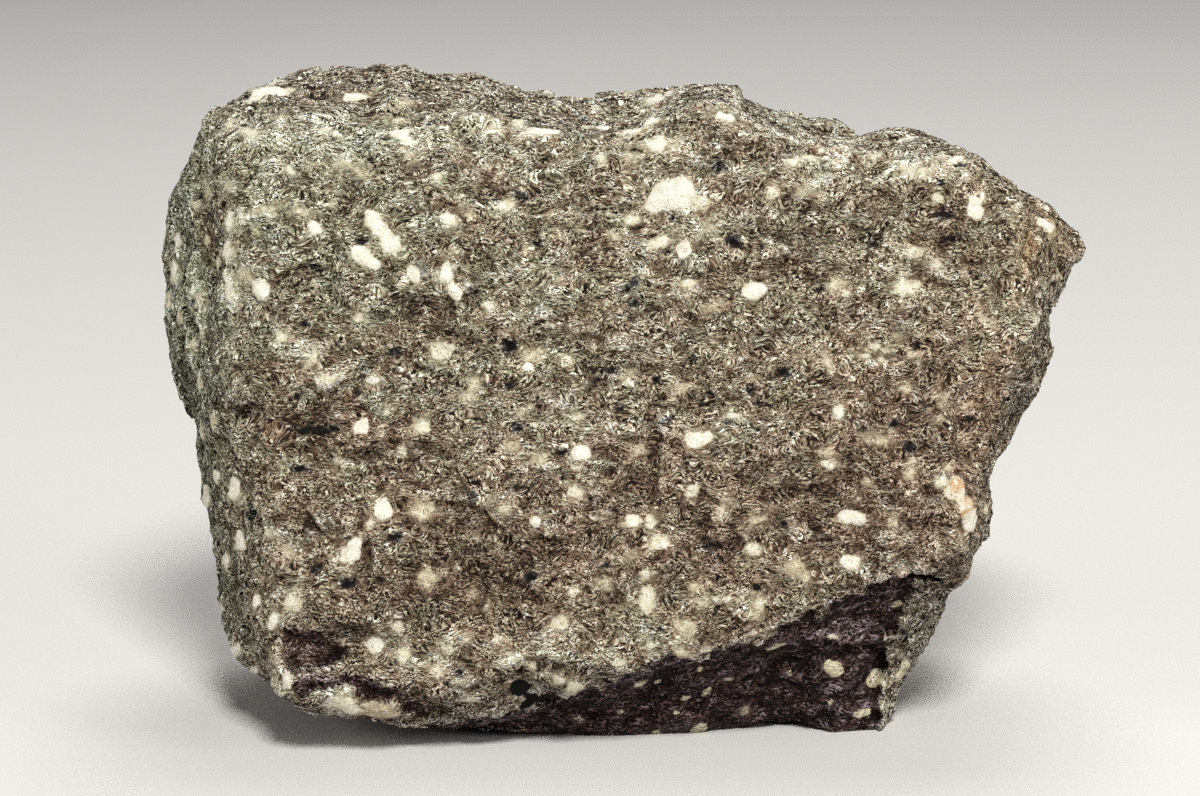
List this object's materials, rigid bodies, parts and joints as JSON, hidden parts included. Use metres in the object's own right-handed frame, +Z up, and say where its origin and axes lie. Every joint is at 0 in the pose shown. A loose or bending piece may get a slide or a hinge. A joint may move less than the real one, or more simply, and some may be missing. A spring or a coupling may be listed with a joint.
{
  "type": "mylonite hand specimen",
  "caption": "Block of broken stone with a broad front face, a hollowed top edge and an undercut lower edge, standing on a small flat spot.",
  "frame": {"origin": "centre of the stone's box, on the plane that it rests on", "axes": "+Z up, -Y out of the broad front face, +X along the stone's length to the right of the front face"},
  "size_m": [0.1254, 0.0656, 0.0861],
  "materials": {
    "mylonite": "dry broken rock, grey-brown and finely streaked, with scattered pale feldspar eyes"
  },
  "bodies": {
    "root": {"stone": "mylonite"}
  },
  "joints": []
}
